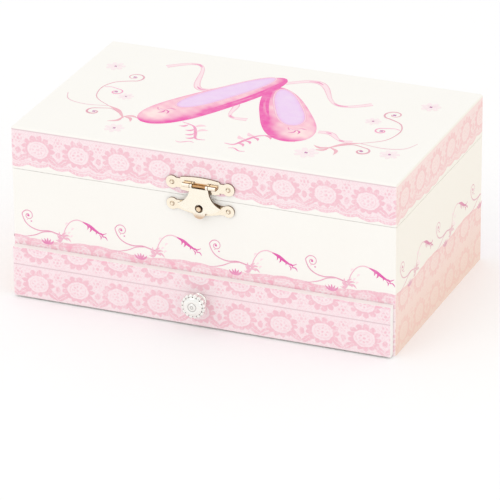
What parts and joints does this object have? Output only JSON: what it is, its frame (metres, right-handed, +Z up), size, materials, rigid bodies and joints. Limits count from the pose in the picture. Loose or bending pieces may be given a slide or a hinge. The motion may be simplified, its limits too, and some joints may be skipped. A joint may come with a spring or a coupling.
{
  "type": "musical jewellery box",
  "caption": "Paper-covered musical jewellery box with a hinged mirrored lid, hasp latch, drawer, lined tray, wind-up comb movement and a ballerina that rises and turns.",
  "frame": {"origin": "middle of the case's underside, on the surface it stands on", "axes": "+X to the right along the width, +Y to the back where the hinges and the key are, +Z up"},
  "size_m": [0.2, 0.1514, 0.089],
  "materials": {
    "printed_paper": "satin coated printed paper over wood board",
    "board": "plain fibreboard",
    "lining_fabric": "pink flocked lining",
    "mirror": "polished mirror glass",
    "pale_gold": "polished pale gold plate",
    "bright_metal": "bright nickel plate",
    "cast_zinc": "as cast",
    "tempered_steel": "ground",
    "brass": "turned",
    "fan_plastic": "moulded",
    "doll_plastic": "painted",
    "net": "stiff net"
  },
  "bodies": {
    "case": {"bottom_board": "board", "left_side_board": "printed_paper", "right_side_board": "printed_paper", "back_board": "printed_paper", "front_board": "printed_paper", "tray_floor": "board", "drawer_stop_board": "board", "tray_dividers": "lining_fabric", "cross_divider": "lining_fabric", "stage_front_panel": "lining_fabric", "stage_board": "lining_fabric", "side_wall_linings": "lining_fabric", "front_wall_lining": "lining_fabric", "back_wall_linings": "lining_fabric", "left_floor_pad": "lining_fabric", "right_floor_pad": "lining_fabric", "centre_floor_pad": "lining_fabric", "ring_rolls": "lining_fabric", "latch_lower_plate": "pale_gold", "latch_stud": "pale_gold", "case_nails": "pale_gold", "hinge_case_leaves": "pale_gold", "movement_bedplate": "cast_zinc", "movement_screws": "bright_metal", "comb": "tempered_steel", "lower_bridge": "cast_zinc", "upper_bridge": "cast_zinc"},
    "lid": {"lid_top_board": "printed_paper", "lid_front_rim": "printed_paper", "lid_back_rim": "printed_paper", "lid_side_rims": "printed_paper", "lid_lining": "lining_fabric", "lid_mirror": "mirror", "latch_upper_plate": "pale_gold", "latch_pin": "pale_gold", "lid_nails": "pale_gold", "hinge_lid_leaves": "pale_gold", "hinge_pins": "pale_gold"},
    "latch_flap": {"latch_flap": "pale_gold"},
    "drawer": {"drawer_front": "printed_paper", "drawer_sides": "board", "drawer_back": "board", "drawer_bottom": "board", "drawer_lining": "lining_fabric", "drawer_knob": "bright_metal", "knob_screw": "bright_metal"},
    "winding_key": {"winding_key": "bright_metal", "winding_arbor": "bright_metal"},
    "spring_barrel": {"spring_barrel": "brass", "mainspring": "tempered_steel"},
    "cylinder": {"cylinder_arbor": "tempered_steel", "pin_cylinder": "brass", "cylinder_wheel": "brass", "spindle_collar": "brass"},
    "governor": {"governor_shaft": "tempered_steel", "governor_fan": "fan_plastic"},
    "stop_wire": {"stop_wire": "tempered_steel"},
    "ballerina_spring": {"ballerina_spring": "tempered_steel"},
    "ballerina": {"ballerina_figure": "doll_plastic", "ballerina_tutu": "net"}
  },
  "joints": [
    {"name": "lid_hinge", "type": "hinge", "parent": "case", "child": "lid", "pos_m": [0, 0.0627, 0.067], "axis": [-1, 0, 0], "range_deg": [0, 100]},
    {"name": "latch_hinge", "type": "hinge", "parent": "lid", "child": "latch_flap", "pos_m": [0, -0.063, 0.0733], "axis": [-1, 0, 0], "range_deg": [0, 120]},
    {"name": "drawer_slide", "type": "slide", "parent": "case", "child": "drawer", "axis": [0, -1, 0], "range_m": [0, 0.078]},
    {"name": "key_turn", "type": "hinge", "parent": "case", "child": "winding_key", "pos_m": [0, 0.061, 0.0165], "axis": [0, 1, 0], "continuous": true},
    {"name": "barrel_turn", "type": "hinge", "parent": "case", "child": "spring_barrel", "pos_m": [0, 0.05, 0.0165], "axis": [0, 1, 0], "continuous": true},
    {"name": "cylinder_turn", "type": "hinge", "parent": "case", "child": "cylinder", "pos_m": [0, 0.04177, 0.036], "axis": [0, 0, 1], "continuous": true},
    {"name": "governor_turn", "type": "hinge", "parent": "case", "child": "governor", "pos_m": [-0.01038, 0.04475, 0.036], "axis": [0, 0, 1], "continuous": true},
    {"name": "stop_wire_slide", "type": "slide", "parent": "case", "child": "stop_wire", "axis": [0, 0, 1], "range_m": [0, 0.003]},
    {"name": "ballerina_fold", "type": "hinge", "parent": "case", "child": "ballerina_spring", "pos_m": [0, 0.04177, 0.0595], "axis": [-1, 0, 0], "range_deg": [0, 80]},
    {"name": "ballerina_turn", "type": "hinge", "parent": "ballerina_spring", "child": "ballerina", "pos_m": [0, 0.04177, 0.0595], "axis": [0, -0.9848, 0.1736], "continuous": true}
  ],
  "couplings": [
    {"joint": "cylinder_turn", "follows": "barrel_turn", "ratio": -4},
    {"joint": "governor_turn", "follows": "barrel_turn", "ratio": 20},
    {"joint": "ballerina_turn", "follows": "barrel_turn", "ratio": -4},
    {"joint": "ballerina_fold", "follows": "lid_hinge", "ratio": 0.8},
    {"joint": "stop_wire_slide", "follows": "lid_hinge", "m_per_rad": 0.0017189}
  ]
}
